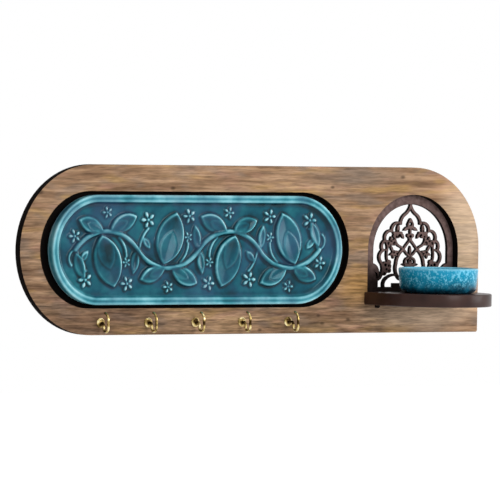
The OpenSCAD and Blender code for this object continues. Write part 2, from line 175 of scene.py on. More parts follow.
def share_out(source, middle, half_size):
    """How far out from middle a point of the face lies, as a share of half_size; both are X and
    Z in millimetres"""
    aside = add_node(tree, "ShaderNodeVectorMath", {
        0: source, 1: (-middle[0] * mm, 0.0, -middle[1] * mm)}, operation="ADD")
    flat = add_node(tree, "ShaderNodeVectorMath", {
        0: aside.outputs[0], 1: (1 / (half_size[0] * mm), 0.0, 1 / (half_size[1] * mm))},
        operation="MULTIPLY")
    far = add_node(tree, "ShaderNodeVectorMath", {0: flat.outputs[0]}, operation="LENGTH")
    return far.outputs["Value"]


# Streaks about 8 mm high set the brown, and grey, ochre and pink wander over them in patches of
# about 55 by 15 mm. In a colour Mix, socket 0 is the share, 6 and 7 are the colours and output 2
# is the result.
body = add_node(tree, "ShaderNodeValToRGB", {"Fac": streaks((8.0, 130.0), 4.0)}, steps=[
    (0.3, "6F543F"), (0.43, "86684F"), (0.52, "997A5E"), (0.6, "A6866A"),
    (0.72, "B5946F")]).outputs["Color"]
for stretch, low, high, tint, share, offset in (
        ((20.0, 66.0), 0.50, 0.66, "7F6F63", 0.50, 3.0),
        ((15.0, 58.0), 0.52, 0.68, "AE8A55", 0.55, 11.0),
        ((18.0, 70.0), 0.54, 0.70, "A67E6A", 0.50, 23.0)):
    patch = add_node(tree, "ShaderNodeMapRange", {
        "Value": streaks(stretch, 2.0, offset=offset), "From Min": low, "From Max": high,
        "To Min": 0.0, "To Max": share}, interpolation_type="SMOOTHSTEP")
    body = add_node(tree, "ShaderNodeMix", {
        0: patch.outputs[0], 6: body, 7: linear(tint)}, data_type="RGBA").outputs[2]

# Patches of tone, each with its middle, half size, colour and share; the last two, below the
# shelf's right end and at the board's right end, are painted light
for middle, half_size, tint, share in (((128.0, -34.0), (30.0, 22.0), "B88C50", 0.6),
                                       ((120.0, 78.0), (70.0, 12.0), "76685C", 0.5),
                                       ((-190.0, -64.0), (70.0, 34.0), "6A5040", 0.5),
                                       ((-90.0, -76.0), (50.0, 14.0), "7C614A", 0.4),
                                       ((-28.0, -74.0), (34.0, 12.0), "B8946C", 0.4),
                                       ((60.0, -74.0), (44.0, 14.0), "806850", 0.35),
                                       ((205.0, -62.0), (80.0, 20.0), "C6AB90", 0.9),
                                       ((258.0, 20.0), (34.0, 70.0), "BCA48A", 0.7)):
    patch = add_node(tree, "ShaderNodeMapRange", {
        "Value": share_out(grain_place, middle, half_size), "From Min": 0.3, "From Max": 1.2,
        "To Min": share, "To Max": 0.0}, interpolation_type="SMOOTHSTEP")
    body = add_node(tree, "ShaderNodeMix", {
        0: patch.outputs[0], 6: body, 7: linear(tint)}, data_type="RGBA").outputs[2]

# Fine grain lightens and darkens the brown, livelier low on the board and calmer at its right
# end. The last of the three are the pores, drawn 1.6 mm high and so coarser than real, to show.
figure = 1.0
for stretch, detail, low, high, dark, light, offset in (
        ((22.0, 300.0), 3.0, 0.42, 0.58, 0.86, 1.09, 7.0),
        ((48.0, 430.0), 4.0, 0.40, 0.60, 0.82, 1.14, 0.0),
        ((48.0, 640.0), 2.0, 0.55, 0.64, 1.0, 0.76, 5.0)):
    band = add_node(tree, "ShaderNodeMapRange", {
        "Value": streaks(stretch, detail, 0.6, offset), "From Min": low, "From Max": high,
        "To Min": dark, "To Max": light})
    figure = add_node(tree, "ShaderNodeMath", {0: figure, 1: band.outputs[0]},
                      operation="MULTIPLY").outputs[0]
lively = add_node(tree, "ShaderNodeMapRange", {
    "Value": grain_axes.outputs["Z"], "From Min": -60 * mm, "From Max": 40 * mm, "To Min": 1.6,
    "To Max": 1.0})
calm = add_node(tree, "ShaderNodeMapRange", {
    "Value": grain_axes.outputs["X"], "From Min": 140 * mm, "From Max": 220 * mm, "To Min": 1.0,
    "To Max": 0.62})
contrast = add_node(tree, "ShaderNodeMath", {0: lively.outputs[0], 1: calm.outputs[0]},
                    operation="MULTIPLY")
figure = add_node(tree, "ShaderNodeMath", {0: figure, 1: contrast.outputs[0]},
                  operation="POWER").outputs[0]

# Pin knots, by their X and Z on the board and the half height of the dark heart in millimetres
KNOT_STRETCH = 0.6
for knot_x, knot_z, heart in ((-101, 62, 1.6), (182, 75, 1.6), (94, 64, 1.3), (95, 3, 1.3),
                              (116, -71, 1.5), (84, -75, 1.5), (79, -67, 1.3), (7, -81, 1.4),
                              (-258, 57, 2.2)):
    out = share_out(place, (knot_x, knot_z), (heart / KNOT_STRETCH, heart))
    knot = add_node(tree, "ShaderNodeMapRange", {
        "Value": out, "From Min": 0.3, "From Max": 1.7, "To Min": 0.42, "To Max": 1.0},
        interpolation_type="SMOOTHSTEP")
    figure = add_node(tree, "ShaderNodeMath", {0: figure, 1: knot.outputs[0]},
                      operation="MULTIPLY").outputs[0]

# Painted shade makes the veneer darker low down, and painted light makes its right end lighter
painted_shade_low_down = add_node(tree, "ShaderNodeMapRange", {
    "Value": grain_axes.outputs["Z"], "From Min": board_low.z, "From Max": board_high.z,
    "To Min": 0.84, "To Max": 1.08})
painted_light_right_end = add_node(tree, "ShaderNodeMapRange", {
    "Value": grain_axes.outputs["X"], "From Min": 180 * mm, "From Max": 270 * mm, "To Min": 1.0,
    "To Max": 1.19})
shade = add_node(tree, "ShaderNodeMath", {0: figure, 1: painted_shade_low_down.outputs[0]}, operation="MULTIPLY")
shade = add_node(tree, "ShaderNodeMath", {0: shade.outputs[0], 1: painted_light_right_end.outputs[0]},
                 operation="MULTIPLY")
veneer = add_node(tree, "ShaderNodeVectorMath", {0: body, "Scale": shade.outputs[0]},
                  operation="SCALE")

# Paint on what faces sideways, veneer in front and bare fibreboard behind, with fibres of about
# 1.7 mm
facing = add_node(tree, "ShaderNodeSeparateXYZ", {
    0: add_node(tree, "ShaderNodeNewGeometry").outputs["Normal"]})
sideways = add_node(tree, "ShaderNodeMapRange", {
    "Value": facing.outputs["Y"], "From Min": -0.93, "From Max": -0.7})
edged = add_node(tree, "ShaderNodeMix", {
    0: sideways.outputs[0], 6: veneer.outputs[0], 7: linear("0E0A08")}, data_type="RGBA")
fibre = add_node(tree, "ShaderNodeTexNoise", {"Vector": place, "Scale": 600.0, "Detail": 4.0})
bare = add_node(tree, "ShaderNodeValToRGB", {"Fac": fibre.outputs["Fac"]}, steps=[
    (0.3, "5E4732"), (0.7, "7C6148")])
behind = add_node(tree, "ShaderNodeMapRange", {
    "Value": facing.outputs["Y"], "From Min": 0.95, "From Max": 0.99})
coloured = add_node(tree, "ShaderNodeMix", {
    0: behind.outputs[0], 6: edged.outputs[2], 7: bare.outputs["Color"]}, data_type="RGBA")
dullness = add_node(tree, "ShaderNodeMapRange", {
    "Value": sideways.outputs[0], "To Min": 0.5, "To Max": 1.0})
relief = add_node(tree, "ShaderNodeBump", {
    "Height": figure, "Strength": 0.35, "Distance": 0.25 * mm})
lacquer = add_node(tree, "ShaderNodeBsdfPrincipled", {
    "Base Color": coloured.outputs[2], "Roughness": dullness.outputs[0],
    "Specular IOR Level": 0.06, "Normal": relief.outputs[0]})
add_node(tree, "ShaderNodeOutputMaterial", {"Surface": lacquer.outputs[0]})
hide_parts("front_board")
dress(board, oak, 30)

# Tile backing. Thin fibreboard glued behind the window and painted black, so the gap round the
# tile reads as a dark line. Its matt paint shows fibres about 1 mm apart.
black_paint, tree, place = new_material("black_paint_on_fibreboard")
fibres = add_node(tree, "ShaderNodeTexNoise", {"Vector": place, "Scale": 900.0, "Detail": 3.0})
tone = add_node(tree, "ShaderNodeValToRGB", {"Fac": fibres.outputs["Fac"]}, steps=[
    (0.3, "0B0908"), (0.7, "16110F")])
nap = add_node(tree, "ShaderNodeBump", {
    "Height": fibres.outputs["Fac"], "Strength": 0.3, "Distance": 0.1 * mm})
paint = add_node(tree, "ShaderNodeBsdfPrincipled", {
    "Base Color": tone.outputs["Color"], "Roughness": 0.9, "Specular IOR Level": 0.05,
    "Normal": nap.outputs[0]})
add_node(tree, "ShaderNodeOutputMaterial", {"Surface": paint.outputs[0]})
dress(frame["nodes"]["tile_backing"], black_paint)

# Relief tile. White clay pressed in a mould, with a raised rim round a vine of flowers and
# leaves, dipped in one thick turquoise glaze that runs off the ridges and pools in the ground.
# Behind FOOT its wall leans in by BACK_TRIM, and detail ends UNPRESSED_BACK in front of the back.
tile_low, tile_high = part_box("relief_tile")
TILE_THICKNESS = 14.5 * mm
TILE_X = (tile_low.x + tile_high.x) / 2
TILE_RADIUS = (tile_high.z - tile_low.z) / 2
TILE_SPINE = tile_high.x - tile_low.x - 2 * TILE_RADIUS
TILE_HALF_LENGTH = TILE_SPINE / 2 + TILE_RADIUS
RIM = 7.5 * mm
RIM_ROUND = 1.6 * mm
RIM_DISH = 0.6 * mm
GROUND_DEPTH = 4 * mm
COVE_TOP_RUN = 1.4 * mm
COVE_TOP_FALL = 1.9 * mm
COVE_FOOT_RUN = 1.6 * mm
FOOT = 4 * mm
BACK_TRIM = 2.5 * mm
CLAY_CELL = 0.8 * mm
PLAIN_BACK = 6 * mm
UNPRESSED_BACK = 8 * mm
ROUND_STEP = 15


def round_over(first, last):
    """Insets the chosen face along the rim's round, from one angle to another in degrees"""
    for degrees in range(first, last, ROUND_STEP):
        a, b = math.radians(degrees), math.radians(degrees + ROUND_STEP)
        bpy.ops.mesh.inset(thickness=RIM_ROUND * (math.cos(a) - math.cos(b)),
                           depth=RIM_ROUND * (math.sin(b) - math.sin(a)))


bpy.ops.mesh.primitive_circle_add(vertices=160, radius=TILE_RADIUS, fill_type="NGON",
                                  location=(TILE_X, tile_high.y - FOOT, 0),
                                  rotation=(math.radians(90), 0, 0))
tile = bpy.context.object
tile.name = "glazed_tile"
bpy.ops.object.transform_apply(location=True, rotation=True, scale=True)
for vertex in tile.data.vertices:
    vertex.co.x += math.copysign(TILE_SPINE / 2, vertex.co.x - TILE_X)
bpy.ops.object.mode_set(mode="EDIT")
bpy.ops.mesh.select_all(action="SELECT")
wall = TILE_THICKNESS - FOOT - RIM_ROUND
bpy.ops.mesh.extrude_region_move(TRANSFORM_OT_translate={"value": (0, -wall, 0)})
round_over(0, 90)
bpy.ops.mesh.inset(thickness=RIM / 2 - RIM_ROUND, depth=-RIM_DISH)
bpy.ops.mesh.inset(thickness=RIM / 2 - RIM_ROUND, depth=RIM_DISH)
round_over(90, 150)
fallen = RIM_ROUND * (1 - math.sin(math.radians(150)))
bpy.ops.mesh.inset(thickness=COVE_TOP_RUN, depth=-COVE_TOP_FALL)
bpy.ops.mesh.inset(thickness=COVE_FOOT_RUN, depth=-(GROUND_DEPTH - COVE_TOP_FALL - fallen))
bpy.ops.mesh.select_all(action="SELECT")
bpy.ops.mesh.normals_make_consistent(inside=False)
bpy.ops.object.mode_set(mode="OBJECT")
apply_modifier(tile, "REMESH", mode="VOXEL", voxel_size=CLAY_CELL)

# The vine is drawn in millimetres for a ground that reaches 45 mm up and down from the middle,
# and GROWTH brings it to this one. Each bow of its stem is WAVE long and RISE high. The leaf
# inside a wide leaf has a share of its length, width and height, the parts of a flower have
# shares of its radius and height, and a stem stands STEM_RISE times its thickness high.
DRAWN_GROUND = 45 * mm
GROWTH = (TILE_RADIUS - RIM - GROUND_DEPTH) / DRAWN_GROUND
WAVE = 76.0
RISE = 19.0
STEM = 6.0
STEM_RISE = 0.6
TWIG = 3.3
LEAF_SHOULDER = 2.2
NARROW_SHOULDER = 0.22
LEAF_HOLLOW = 0.22
WIDE_LEAF = 15.0
INNER_LENGTH = 0.66
INNER_WIDTH = 0.6
INNER_SHOULDER = 1.6
INNER_RISE = 0.13
BUTTON = 0.28
BUTTON_RISE = 1.05
PETALS = 5
PETAL_ROOT = 0.22
PETAL_TIP = 1.08
PETAL_WIDTH = 0.5


def swell(depth, edge):
    """0 outside a shape, 1 from edge inwards, with a rounded shoulder; depth is in millimetres"""
    t = np.clip(depth / edge, 0, 1)
    return np.sqrt(1 - (1 - t) ** 2)


def leaf_depth(at, start, tip, width):
    """How deep inside a leaf's outline each point lies, and how far to one side of its midrib;
    the outline is two arcs that meet at both ends"""
    start, tip = np.array(start, float), np.array(tip, float)
    length = np.linalg.norm(tip - start)
    along = (tip - start) / length
    dx, dz = at[0] - (start[0] + tip[0]) / 2, at[1] - (start[1] + tip[1]) / 2
    aside = dz * along[0] - dx * along[1]
    radius = (length * length + width * width) / (4 * width)
    off_middle = np.hypot(dx * along[0] + dz * along[1], np.abs(aside) + radius - width / 2)
    return radius - off_middle, aside


def pressed_leaf(at, start, tip, width, height, tilt=0.3):
    """Leaf that leans over to one side; a wide one holds a smaller one in its hollow face"""
    depth, aside = leaf_depth(at, start, tip, width)
    edge = min(LEAF_SHOULDER, NARROW_SHOULDER * width)
    blade = np.clip((depth - edge) / (width / 2 - edge), 0, 1)
    lean = 1 - tilt + tilt * np.clip(2 * aside / width, -1, 1)
    form = swell(depth, edge) * lean - LEAF_HOLLOW * blade
    if width > WIDE_LEAF:
        inner_tip = [a + INNER_LENGTH * (b - a) for a, b in zip(start, tip)]
        inner_depth, _ = leaf_depth(at, start, inner_tip, INNER_WIDTH * width)
        form = form + INNER_RISE * swell(inner_depth, INNER_SHOULDER)
    return np.where(depth > 0, height * form, 0)


def pressed_flower(at, middle, radius, height):
    """Pointed petals round a button"""
    button = BUTTON * radius
    off_middle = np.hypot(at[0] - middle[0], at[1] - middle[1])
    forms = [BUTTON_RISE * height * swell(button - off_middle, button)]
    for number in range(PETALS):
        turn = 2 * math.pi * (number + 0.5) / PETALS
        root, tip = [(middle[0] + share * radius * math.cos(turn),
                      middle[1] + share * radius * math.sin(turn))
                     for share in (PETAL_ROOT, PETAL_TIP)]
        forms.append(pressed_leaf(at, root, tip, PETAL_WIDTH * radius, height, 0.0))
    return np.maximum.reduce(forms)


def pressed_stem(at, start, through, end, thickness):
    """Round stem along the arc from start through a third point to end"""
    start, through, end = (np.array(point, float) for point in (start, through, end))
    chords = np.array([through - start, end - start])
    middle = start + np.linalg.solve(2 * chords, (chords ** 2).sum(axis=1))
    radius = np.linalg.norm(start - middle)
    halfway = complex(*(through - middle))
    turn = np.angle((at[0] - middle[0] + 1j * (at[1] - middle[1])) / halfway)
    ends = [np.angle(complex(*(point - middle)) / halfway) for point in (start, end)]
    off_line = np.abs(np.hypot(at[0] - middle[0], at[1] - middle[1]) - radius)
    past_end = np.maximum(0, np.maximum(turn - max(ends), min(ends) - turn)) * radius
    inside = thickness / 2 - np.hypot(off_line, past_end)
    return STEM_RISE * thickness * swell(inside, thickness / 2)


def vine(x, z):
    """Height of the whole relief over its ground, in millimetres; the right half is the left
    one turned half round"""
    forms = [np.zeros_like(x)]
    for turn in (1, -1):
        half_x, half_z = turn * x / GROWTH, turn * z / GROWTH
        for middle, side in ((-1.5 * WAVE, 1), (-0.5 * WAVE, -1)):
            at = (half_x - middle, half_z * side)
            forms += [pressed_stem(at, (-WAVE / 2, 0), (0, RISE), (WAVE / 2, 0), STEM),
                      pressed_stem(at, (-36, 4), (-33, -10), (-25, -22), TWIG),
                      pressed_stem(at, (15, 13), (23, 2), (24.5, -7), TWIG),
                      pressed_leaf(at, (-7, 16), (10, -39), 33, 4.8),
                      pressed_leaf(at, (3, 20), (37, 35), 19, 4.2),
                      pressed_leaf(at, (-4, 20), (-35, 31), 17, 4.2),
                      pressed_leaf(at, (37, 1), (33, -26), 11, 3.2),
                      pressed_leaf(at, (-32, -13), (-22, -1), 8, 2.8),
                      pressed_flower(at, (-25.5, -31), 8, 2.7),
                      pressed_flower(at, (24.5, -13), 5.2, 2.4),
                      pressed_flower(at, (25.5, -35), 7.4, 2.7),
                      pressed_flower(at, (0.6, 38.5), 6, 2.4)]
        at = (half_x + 2 * WAVE, half_z)
        forms += [pressed_stem(at, (0, 0), (-7, -7), (-4, -16), 3.0),
                  pressed_leaf(at, (0, -2), (11, -31), 13, 3.4),
                  pressed_flower(at, (-1, 14), 7, 2.6)]
    return GROWTH * np.maximum.reduce(forms)


def vertex_rows(piece, name):
    """A vertex property such as co or normal, with a row for each vertex"""
    rows = np.empty(len(piece.data.vertices) * 3)
    piece.data.vertices.foreach_get(name, rows)
    return rows.reshape(-1, 3)


def inside_outline(points):
    """How far inside the tile's outline each point lies, in millimetres"""
    past_spine = np.maximum(np.abs(points[:, 0] - TILE_X) - TILE_SPINE / 2, 0)
    return (TILE_RADIUS - np.hypot(past_spine, points[:, 2])) / mm


# The vine stands on a ground that swells by up to 0.14 mm, and both fade out in the cove
COVE_FADE = 4.0
FINE_SWELL = 0.1
BROAD_SWELL = 0.16
GROUND_SINK = 0.12
points = vertex_rows(tile, "co")
local_x, local_z = (points[:, 0] - TILE_X) / mm, points[:, 2] / mm
fine_waves = np.sin(local_x / 3.3 + 1.7 * np.sin(local_z / 4.1)) * np.sin(local_z / 2.7 + 1.0)
broad_waves = np.sin(local_x / 9.0 + 2.0 * np.sin(local_z / 11.0))
uneven_ground = FINE_SWELL * fine_waves + BROAD_SWELL * broad_waves - GROUND_SINK
on_ground = np.clip((inside_outline(points) - RIM / mm) / COVE_FADE, 0, 1)
pressed = np.maximum(vine(local_x, local_z), uneven_ground) * on_ground
in_front = points[:, 1] < tile_high.y - UNPRESSED_BACK
points[:, 1] -= np.where(in_front, pressed, 0) * mm
tile.data.vertices.foreach_set("co", points.ravel())
tile.data.update()

# The back of the body has no detail, so the fine mesh is cut off there and its edge is drawn
# back to the trimmed foot
bpy.ops.object.mode_set(mode="EDIT")
bpy.ops.mesh.select_all(action="SELECT")
bpy.ops.mesh.bisect(plane_co=(0, tile_high.y - PLAIN_BACK, 0), plane_no=(0, 1, 0),
                    clear_outer=True)
bpy.ops.mesh.select_all(action="DESELECT")
bpy.ops.mesh.select_non_manifold()
bpy.ops.mesh.extrude_edges_move(TRANSFORM_OT_translate={"value": (0, PLAIN_BACK - FOOT, 0)})
bpy.ops.mesh.extrude_edges_move(TRANSFORM_OT_translate={"value": (0, FOOT, 0)})
bpy.ops.transform.resize(value=(1 - BACK_TRIM / TILE_HALF_LENGTH, 1, 1 - BACK_TRIM / TILE_RADIUS))
bpy.ops.mesh.edge_face_add()
bpy.ops.object.mode_set(mode="OBJECT")
apply_modifier(tile, "SMOOTH", factor=0.5, iterations=4)

# How thinly the glaze lies, from 0 in a deep pool to 1 on bare clay: it thins on ridges and on
# the rim, and thickens a little on high broad forms. Slopes that face up or to the right and the
# outer wall are also made paler, which is painted light. A ridge is measured by how many
# millimetres it stands proud of what is round it.
GROUND_THINNESS = 0.21
RIDGE_SHARE = 0.72
RIDGE_LIMITS = (-0.5, 0.8)
RIM_SHARE = 0.22
RIM_BLUR = 1.2
PAINTED_SLOPE_LIGHT_SHARE = 0.17
BROAD_SHARE = 0.008
WALL_BAND = 0.5
PAINTED_WALL_LIGHT = 0.4
points = vertex_rows(tile, "co")
edges = np.empty(len(tile.data.edges) * 2, int)
tile.data.edges.foreach_get("vertices", edges)
edges = edges.reshape(-1, 2)
neighbours = np.maximum(np.bincount(edges.ravel(), minlength=len(points)), 1)


def neighbour_mean(values, rounds):
    """The tile's values averaged with those of their neighbours, over and over"""
    for _ in range(rounds):
        total = (np.bincount(edges[:, 0], values[edges[:, 1]], len(values))
                 + np.bincount(edges[:, 1], values[edges[:, 0]], len(values)))
        values = 0.5 * values + 0.5 * total / neighbours
    return values


proud = (tile_high.y - points[:, 1]) / mm
ridge = np.clip(neighbour_mean(proud - neighbour_mean(proud, 10), 1), *RIDGE_LIMITS)
raised = np.clip(proud - (TILE_THICKNESS - GROUND_DEPTH) / mm, 0, GROUND_DEPTH / mm)
from_edge = inside_outline(points)
on_rim = np.clip((RIM / mm + RIM_BLUR / 2 - from_edge) / RIM_BLUR, 0, 1)
normals = vertex_rows(tile, "normal")
# Painted light: slopes that face up or to the right are made paler
painted_slope_light = neighbour_mean(normals[:, 0] + normals[:, 2], 1)
thinness_and_painted_light = (GROUND_THINNESS + RIDGE_SHARE * ridge + RIM_SHARE * on_rim
            + (PAINTED_SLOPE_LIGHT_SHARE * painted_slope_light - BROAD_SHARE * raised) * (1 - on_rim))
# Painted light: the outer wall is made at least this pale
thinness_and_painted_light = np.where(from_edge < WALL_BAND, np.maximum(thinness_and_painted_light, PAINTED_WALL_LIGHT), thinness_and_painted_light)
glaze_layer = tile.data.attributes.new("thin_glaze_and_painted_light", "FLOAT", "POINT")
glaze_layer.data.foreach_set("value", thinness_and_painted_light.astype(np.float32))

# Turquoise glaze on white clay: pale where it thins over a ridge, deep blue-green in the
# hollows, with a wet gloss. It clouds over about 24 mm, turns bluer over about 30 mm, and its
# skin ripples each 6 mm.
glaze, tree, place = new_material("turquoise_glaze_on_pressed_clay")
# The attribute carries the glaze's thinness and the painted light on slopes and the outer wall
thinness_and_light = add_node(tree, "ShaderNodeAttribute", attribute_name="thin_glaze_and_painted_light")
clouds = add_node(tree, "ShaderNodeTexNoise", {"Vector": place, "Scale": 42.0, "Detail": 5.0})
uneven = add_node(tree, "ShaderNodeMapRange", {
    "Value": clouds.outputs["Fac"], "From Min": 0.3, "From Max": 0.7, "To Min": -0.13,
    "To Max": 0.13})
layer = add_node(tree, "ShaderNodeMath", {0: thinness_and_light.outputs["Fac"], 1: uneven.outputs[0]},
                 operation="ADD")
depth_colour = add_node(tree, "ShaderNodeValToRGB", {"Fac": layer.outputs[0]}, steps=[
    (0.02, "021C26"), (0.17, "074556"), (0.3, "1A606C"), (0.42, "3C8896"), (0.6, "80BFCA"),
    (0.85, "C4E4EA")])
cast = add_node(tree, "ShaderNodeTexNoise", {"Vector": place, "Scale": 32.0, "Detail": 3.0})
blue_share = add_node(tree, "ShaderNodeMapRange", {
    "Value": cast.outputs["Fac"], "From Min": 0.4, "From Max": 0.68, "To Min": 0.0,
    "To Max": 0.45}, interpolation_type="SMOOTHSTEP")
glaze_colour = add_node(tree, "ShaderNodeMix", {
    0: blue_share.outputs[0], 6: depth_colour.outputs["Color"], 7: linear("33486A")},
    data_type="RGBA")
ripple = add_node(tree, "ShaderNodeTexNoise", {"Vector": place, "Scale": 160.0, "Detail": 2.0})
skin = add_node(tree, "ShaderNodeBump", {
    "Height": ripple.outputs["Fac"], "Strength": 0.12, "Distance": 0.3 * mm})
gloss = add_node(tree, "ShaderNodeBsdfPrincipled", {
    "Base Color": glaze_colour.outputs[2], "Roughness": 0.22, "Specular IOR Level": 0.26,
    "Specular Tint": linear("8FD3E0"), "Coat Weight": 0.12, "Coat Roughness": 0.08,
    "Normal": skin.outputs[0]})
add_node(tree, "ShaderNodeOutputMaterial", {"Surface": gloss.outputs[0]})
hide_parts("relief_tile")
dress(tile, glaze, 180)

# Lattice panel. Thin fibreboard, stained brown and lacquered in front, then cut by laser, which
# burnt the cut walls and a narrow band of the face along them black. The small eyes in the
# leaves were cut last.
BURNT_BAND = 0.6 * mm
FIELD_SHIFT = 3 * mm
FIELD_RADIUS = 46.8
DRAWN_RADIUS = 47.5
EYE_DRILL = 12 * mm
FLATNESS = 0.01 * mm
lattice = copy_node("lattice_panel", "laser_cut_lattice")
bpy.ops.object.mode_set(mode="OBJECT")
lattice_low, lattice_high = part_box("lattice_panel")
FIELD_X = (lattice_low.x + lattice_high.x) / 2 + FIELD_SHIFT

# The eyes' places and radii are in millimetres on the field as it was drawn
eye_scale = FIELD_RADIUS / DRAWN_RADIUS * mm
drills = []
for x, z, radius in ((14.0, 15.4, 0.75), (18.0, 13.6, 0.65), (16.2, 19.6, 0.6), (24.6, 8.9, 0.65),
                     (27.9, 7.4, 0.55), (21.4, 6.0, 0.55), (20.9, -2.9, 0.8), (31.6, -15.9, 1.1),
                     (27.5, -16.6, 1.0), (30.2, -20.4, 1.15), (33.0, -24.6, 0.8),
                     (27.2, -22.0, 0.8), (7.8, -15.8, 0.6), (0.0, -24.0, 0.9), (0.0, -11.4, 0.7),
                     (0.0, 14.0, 1.0)):
    for side in (1, -1) if x else (1,):
        bpy.ops.mesh.primitive_cylinder_add(
            vertices=16, radius=radius * eye_scale, depth=EYE_DRILL,
            location=(FIELD_X + side * x * eye_scale, (lattice_low.y + lattice_high.y) / 2,
                      z * eye_scale), rotation=(math.radians(90), 0, 0))
        drills.append(bpy.context.object)
with bpy.context.temp_override(active_object=drills[0], selected_editable_objects=drills):
    bpy.ops.object.join()
bpy.ops.object.select_all(action="DESELECT")
lattice.select_set(True)
bpy.context.view_layer.objects.active = lattice
apply_modifier(lattice, "BOOLEAN", object=drills[0], operation="DIFFERENCE", solver="EXACT")
bpy.data.objects.remove(drills[0])

# The front face is inset, and only what is left inside the inset is not burnt. The back, which
# lay on the bed of the laser, is black all over.
bpy.ops.object.mode_set(mode="EDIT")
bpy.ops.mesh.select_all(action="DESELECT")
bpy.ops.object.mode_set(mode="OBJECT")
for polygon in lattice.data.polygons:
    polygon.select = all(lattice.data.vertices[v].co.y < lattice_low.y + FLATNESS
                         for v in polygon.vertices)
bpy.ops.object.mode_set(mode="EDIT")
bpy.ops.mesh.inset(thickness=BURNT_BAND, depth=0)
bpy.ops.object.mode_set(mode="OBJECT")
unburnt = np.empty(len(lattice.data.vertices), bool)
lattice.data.vertices.foreach_get("select", unburnt)
char = lattice.data.attributes.new("char", "FLOAT", "POINT")
char.data.foreach_set("value", np.where(unburnt, 0.0, 1.0).astype(np.float32))

# Stained fibreboard cut by laser: a dull brown mottled each 5 mm and black along the cuts, with
# painted shade that darkens it towards the foot.
lattice_wood, tree, place = new_material("stained_fibreboard_laser_cut")
mottle = add_node(tree, "ShaderNodeTexNoise", {"Vector": place, "Scale": 220.0, "Detail": 4.0})
stain = add_node(tree, "ShaderNodeValToRGB", {"Fac": mottle.outputs["Fac"]}, steps=[
    (0.3, "5A4844"), (0.7, "7C6662")])
burn = add_node(tree, "ShaderNodeAttribute", attribute_name="char")
scorched = add_node(tree, "ShaderNodeMapRange", {
    "Value": burn.outputs["Fac"], "From Min": 0.05, "From Max": 0.8})
cut = add_node(tree, "ShaderNodeMix", {
    0: scorched.outputs[0], 6: stain.outputs["Color"], 7: linear("040202")}, data_type="RGBA")
# Painted shade: the face is darker towards the foot
axes = add_node(tree, "ShaderNodeSeparateXYZ", {0: place})
painted_foot_shade = add_node(tree, "ShaderNodeMapRange", {
    "Value": axes.outputs["Z"], "From Min": -36 * mm, "From Max": 2 * mm, "To Min": 0.14,
    "To Max": 1.0}, interpolation_type="SMOOTHSTEP")
shaded_to_foot = add_node(tree, "ShaderNodeVectorMath", {0: cut.outputs[2], "Scale": painted_foot_shade.outputs[0]},
                  operation="SCALE")
dull_stain = add_node(tree, "ShaderNodeBsdfPrincipled", {
    "Base Color": shaded_to_foot.outputs[0], "Roughness": 0.6, "Specular IOR Level": 0.02})
add_node(tree, "ShaderNodeOutputMaterial", {"Surface": dull_stain.outputs[0]})
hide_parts("lattice_panel")
dress(lattice, lattice_wood, 30)

# Shelf. Fibreboard sawn to a round front, its edges eased, sprayed with a dark brown lacquer
# that was rubbed to a semi-gloss. It is butted against the board.
SHELF_ARRIS = 0.35 * mm
shelf = eased_copy("shelf", "lacquered_shelf", SHELF_ARRIS, 25)

# Sprayed lacquer: a soft sheen over an orange peel of about 2 mm, and a tone that drifts over
# about 17 mm.
lacquer_brown, tree, place = new_material("dark_brown_lacquer")
mist = add_node(tree, "ShaderNodeTexNoise", {"Vector": place, "Scale": 60.0, "Detail": 3.0})
brown = add_node(tree, "ShaderNodeValToRGB", {"Fac": mist.outputs["Fac"]}, steps=[
    (0.3, "2A1814"), (0.7, "3A241E")])
orange_peel = add_node(tree, "ShaderNodeTexNoise", {
    "Vector": place, "Scale": 420.0, "Detail": 2.0})
peel = add_node(tree, "ShaderNodeBump", {
    "Height": orange_peel.outputs["Fac"], "Strength": 0.15, "Distance": 0.08 * mm})
semi_gloss = add_node(tree, "ShaderNodeBsdfPrincipled", {
    "Base Color": brown.outputs["Color"], "Roughness": 0.35, "Specular IOR Level": 0.13,
    "Coat Weight": 0.07, "Coat Roughness": 0.2, "Normal": peel.outputs[0]})
add_node(tree, "ShaderNodeOutputMaterial", {"Surface": semi_gloss.outputs[0]})
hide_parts("shelf")
dress(shelf, lacquer_brown, 30)

# Pins under the shelf. Hardwood dowels with rounded ends, stained black and driven into the
# board, so the shelf sits on them. The stained wood is dull, with pores of about 1.4 mm.
pin_stain, tree, place = new_material("black_stained_dowel")
dowel_grain = add_node(tree, "ShaderNodeTexNoise", {
    "Vector": place, "Scale": 700.0, "Detail": 3.0})
dark = add_node(tree, "ShaderNodeValToRGB", {"Fac": dowel_grain.outputs["Fac"]}, steps=[
    (0.3, "0C0807"), (0.7, "17100D")])
dull_black = add_node(tree, "ShaderNodeBsdfPrincipled", {
    "Base Color": dark.outputs["Color"], "Roughness": 0.6, "Specular IOR Level": 0.08})
add_node(tree, "ShaderNodeOutputMaterial", {"Surface": dull_black.outputs[0]})
for side in ("left", "right"):
    dress(frame["nodes"][f"shelf_pin_{side}"], pin_stain)

# Bowl. Thrown on the wheel from red clay, turned to a low foot, and glazed in a reactive
# turquoise that breaks into pale blue flecks and pools each 14 mm or so. It darkens towards the
# foot, partly where the glaze lies thick and partly as painted shade where the wall turns under.
bowl_low, bowl_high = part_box("bowl")
bowl_glaze, tree, place = new_material("flecked_turquoise_glaze_on_thrown_clay")
axes = add_node(tree, "ShaderNodeSeparateXYZ", {0: place})
height_share = add_node(tree, "ShaderNodeMapRange", {
    "Value": axes.outputs["Z"], "From Min": bowl_low.z, "From Max": bowl_high.z})
pools = add_node(tree, "ShaderNodeTexNoise", {"Vector": place, "Scale": 70.0, "Detail": 4.0})
